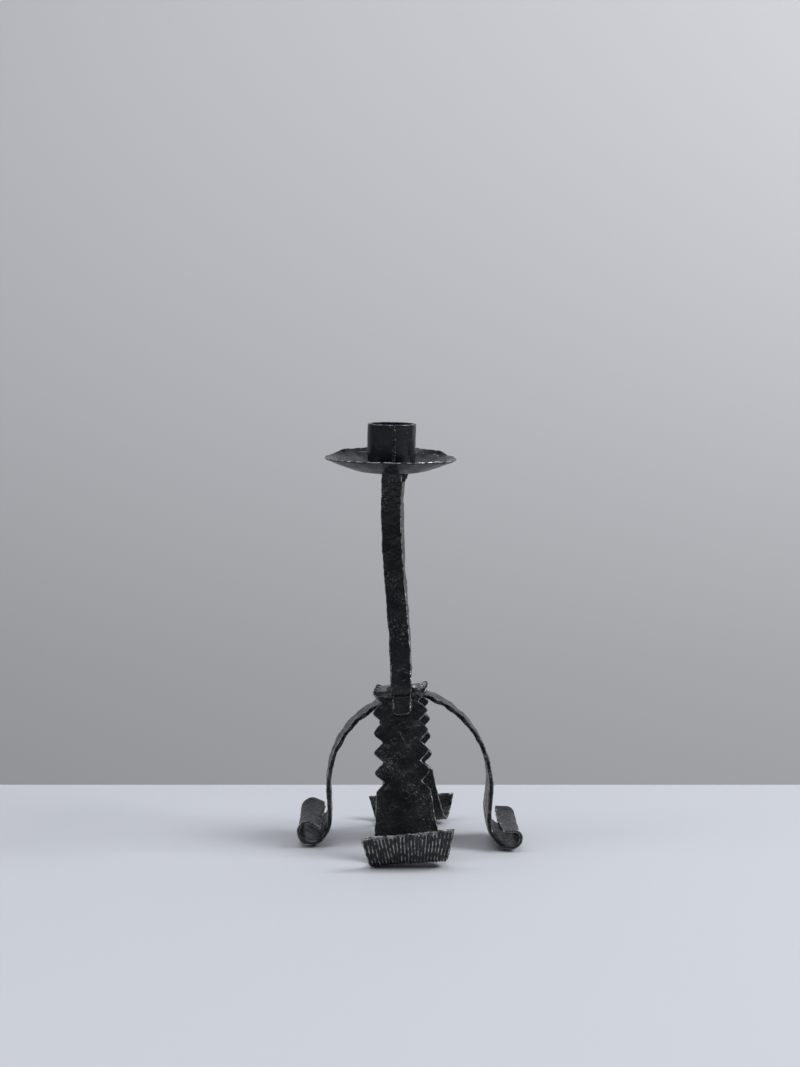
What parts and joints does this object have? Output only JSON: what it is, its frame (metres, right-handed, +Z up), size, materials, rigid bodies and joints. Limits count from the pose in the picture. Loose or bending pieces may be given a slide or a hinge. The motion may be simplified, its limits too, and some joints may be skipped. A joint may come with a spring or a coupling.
{
  "type": "candle holder",
  "caption": "Black wrought iron candle holder: a cup and drip pan on a bent square stem over crossed scalloped straps with curled feet.",
  "frame": {"origin": "middle of the footprint, on the surface that the feet stand on", "axes": "+Z up, -Y towards the front foot, +X towards the right foot"},
  "size_m": [0.1232, 0.1262, 0.2342],
  "materials": {
    "black_iron": "semi-gloss black paint over hammered iron, worn bright on its edges",
    "black_sheet": "gloss black paint over smooth sheet",
    "weld_metal": "lumpy weld under thin black paint, shiny where it shows through"
  },
  "bodies": {
    "holder": {"candle_cup": "black_sheet", "cup_seam_weld": "weld_metal", "cup_base_weld": "weld_metal", "drip_pan": "black_sheet", "pan_weld": "weld_metal", "stem": "black_iron", "stem_weld": "weld_metal", "tongue_weld": "weld_metal", "front_back_strap": "black_iron", "side_strap": "black_iron", "crossing_weld": "weld_metal"}
  },
  "joints": []
}
